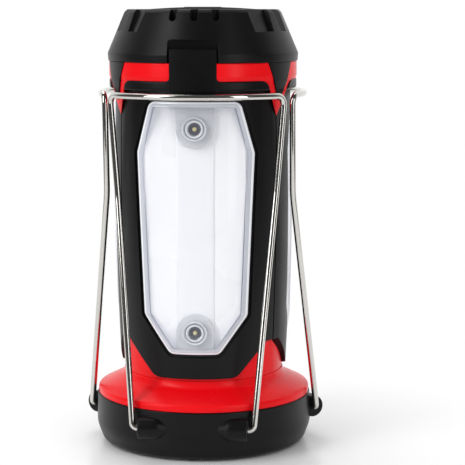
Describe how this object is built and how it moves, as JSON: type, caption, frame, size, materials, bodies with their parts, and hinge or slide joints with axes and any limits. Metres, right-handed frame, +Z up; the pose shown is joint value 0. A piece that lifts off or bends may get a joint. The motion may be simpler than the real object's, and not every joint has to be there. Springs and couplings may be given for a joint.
{
  "type": "camping lantern",
  "caption": "Round upright camping lantern with light panels round a red core, a black cap and base, and steel wire legs that fold up against the body.",
  "frame": {"origin": "centre of the plane the feet stand on", "axes": "+Z up along the lantern's axis, the front light panel faces -Y, +X to the viewer's right"},
  "size_m": [0.1184, 0.1066, 0.213],
  "materials": {
    "black_plastic": "satin moulded",
    "red_plastic": "glossy moulded",
    "steel_wire": "polished",
    "clear_lens": "clear polycarbonate",
    "white_reflector": "white moulded",
    "grey_seat": "satin",
    "circuit_board": "solder mask",
    "emitter": "phosphor",
    "steel_screw": "zinc plated",
    "cell_can": "printed sleeve",
    "black_rubber": "moulded"
  },
  "bodies": {
    "housing": {"base_cover": "red_plastic", "base_screws": "steel_screw", "base_shell": "black_plastic", "battery_carrier": "black_plastic", "battery_cells": "cell_can", "board_screws": "steel_screw", "cap_plate": "black_plastic", "cap_shell": "black_plastic", "contact_plates": "steel_screw", "contact_springs": "steel_screw", "core_housing": "red_plastic", "corner_trim_left": "black_plastic", "corner_trim_rear": "black_plastic", "corner_trim_right": "black_plastic", "foot_pads": "black_rubber", "lamp_boards_front": "circuit_board", "lamp_boards_left": "circuit_board", "lamp_boards_right": "circuit_board", "lamp_emitters_front": "emitter", "lamp_emitters_left": "emitter", "lamp_emitters_right": "emitter", "lamp_housings_front": "grey_seat", "lamp_housings_left": "grey_seat", "lamp_housings_right": "grey_seat", "lamp_rings_front": "clear_lens", "lamp_rings_left": "clear_lens", "lamp_rings_right": "clear_lens", "main_board": "circuit_board", "panel_frame_front": "black_plastic", "panel_frame_left": "black_plastic", "panel_frame_right": "black_plastic", "panel_lens_front": "clear_lens", "panel_lens_left": "clear_lens", "panel_lens_right": "clear_lens", "panel_reflector_front": "white_reflector", "panel_reflector_left": "white_reflector", "panel_reflector_right": "white_reflector", "plate_screws": "steel_screw", "power_switch": "black_plastic"},
    "leg_front": {"wire_leg_front": "steel_wire"},
    "leg_right": {"wire_leg_right": "steel_wire"},
    "leg_left": {"wire_leg_left": "steel_wire"},
    "button": {"power_button": "black_rubber"},
    "door": {"battery_door": "black_plastic", "door_seal": "black_rubber"}
  },
  "joints": [
    {"name": "leg_front_fold", "type": "hinge", "parent": "housing", "child": "leg_front", "pos_m": [0, -0.0483, 0.0158], "axis": [1, 0, 0], "range_deg": [0, 150]},
    {"name": "leg_right_fold", "type": "hinge", "parent": "housing", "child": "leg_right", "pos_m": [0.04183, 0.02415, 0.0158], "axis": [-0.5, 0.866, 0], "range_deg": [0, 150]},
    {"name": "leg_left_fold", "type": "hinge", "parent": "housing", "child": "leg_left", "pos_m": [-0.04183, 0.02415, 0.0158], "axis": [-0.5, -0.866, 0], "range_deg": [0, 150]},
    {"name": "button_press", "type": "slide", "parent": "housing", "child": "button", "axis": [0, 0, -1], "range_m": [0, 0.0018], "stiffness_N_per_m": 600, "springref_m": -0.001},
    {"name": "door_turn", "type": "hinge", "parent": "housing", "child": "door", "pos_m": [0, 0, 0.003], "axis": [0, 0, 1], "range_deg": [0, 40]}
  ]
}
